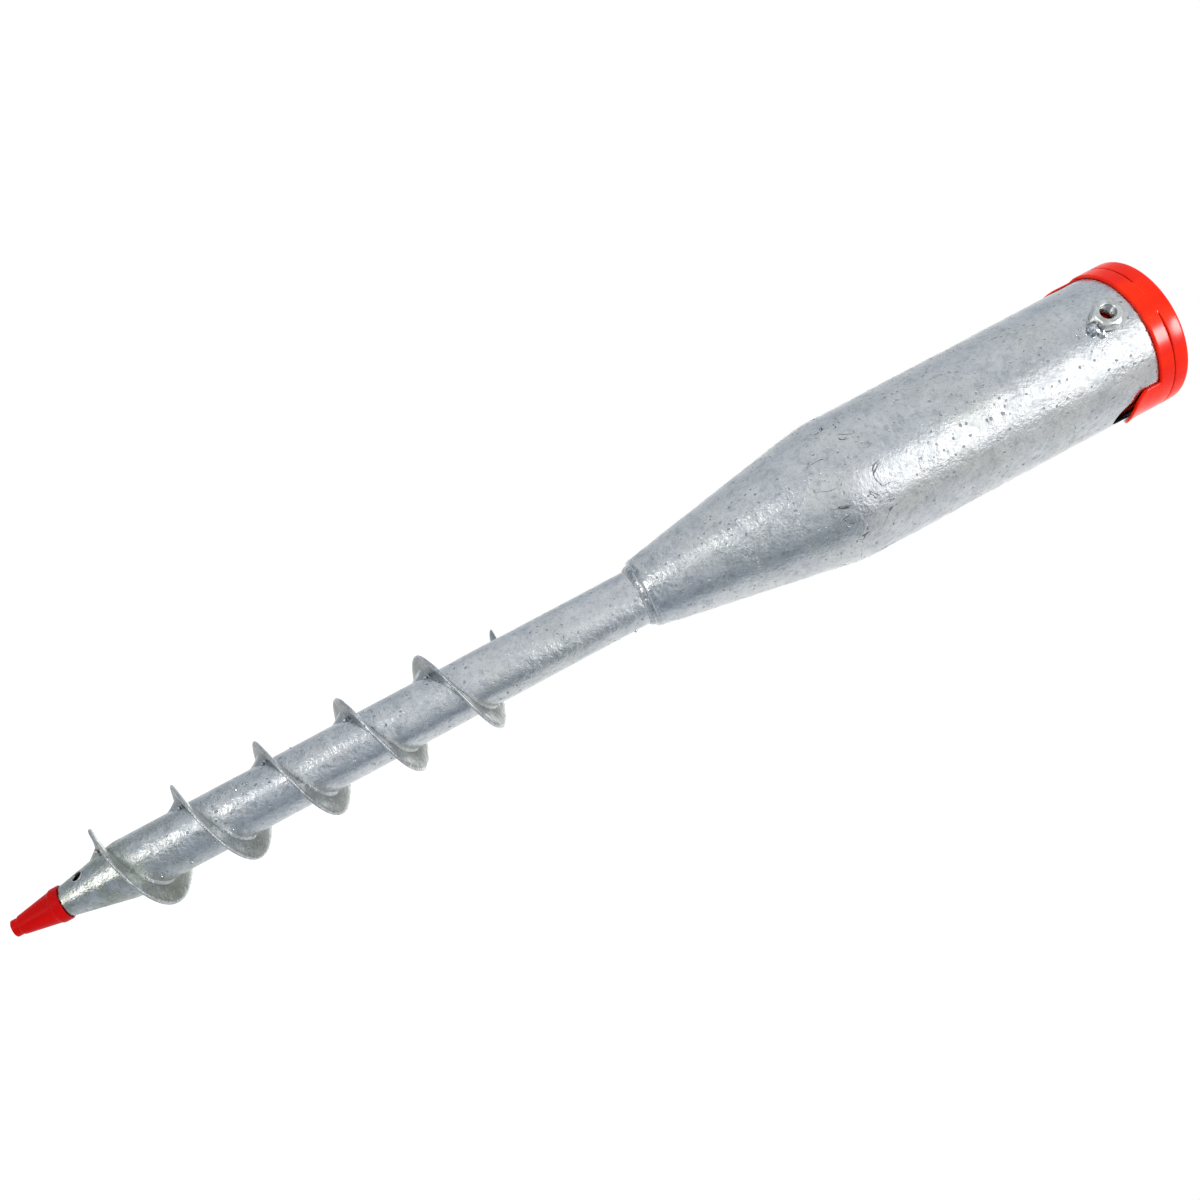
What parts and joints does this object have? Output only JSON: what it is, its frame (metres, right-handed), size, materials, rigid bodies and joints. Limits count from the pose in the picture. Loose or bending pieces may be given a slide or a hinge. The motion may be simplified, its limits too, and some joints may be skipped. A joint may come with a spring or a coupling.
{
  "type": "screw-in ground socket for a round post",
  "caption": "Galvanised screw-in ground socket: a post tube closing to a cone on a stem with a helical blade, welded clamp nuts, a hinged red plastic cap and a red tip guard.",
  "frame": {"origin": "centre of the tip guard's small end, on the axis of the socket", "axes": "+Z along the axis from the driving point up to the post socket, -Y through the front clamp nut"},
  "size_m": [0.0948, 0.1054, 0.743],
  "materials": {
    "galvanised_steel": "hot-dip galvanised, mottled, with small runs and pits",
    "weld_zinc": "weld bead under bright zinc",
    "nut_zinc": "hot-dip galvanised, bright",
    "cap_plastic": "glossy orange-red moulding",
    "guard_plastic": "satin deep red moulding"
  },
  "bodies": {
    "root": {"socket_tube": "galvanised_steel", "stem_tube": "galvanised_steel", "auger_blade": "galvanised_steel", "blade_weld_upper_1": "weld_zinc", "blade_weld_upper_2": "weld_zinc", "blade_weld_upper_3": "weld_zinc", "blade_weld_upper_4": "weld_zinc", "blade_weld_upper_5": "weld_zinc", "blade_weld_lower_1": "weld_zinc", "blade_weld_lower_2": "weld_zinc", "blade_weld_lower_3": "weld_zinc", "blade_weld_lower_4": "weld_zinc", "blade_weld_lower_5": "weld_zinc", "socket_weld": "weld_zinc", "clamp_nut_front": "nut_zinc", "clamp_nut_back": "nut_zinc", "nut_weld_front": "weld_zinc", "nut_weld_back": "weld_zinc"},
    "collar": {"cap_collar": "cap_plastic"},
    "lid": {"cap_lid": "cap_plastic"},
    "guard": {"tip_guard": "guard_plastic"}
  },
  "joints": [
    {"name": "collar_lift", "type": "slide", "parent": "root", "child": "collar", "axis": [0, 0, 1], "range_m": [0, 0.045]},
    {"name": "lid_hinge", "type": "hinge", "parent": "collar", "child": "lid", "pos_m": [0, -0.0469, 0.7331], "axis": [1, 0, 0], "range_deg": [0, 165]},
    {"name": "guard_pull", "type": "slide", "parent": "root", "child": "guard", "axis": [0, 0, -1], "range_m": [0, 0.035]}
  ]
}
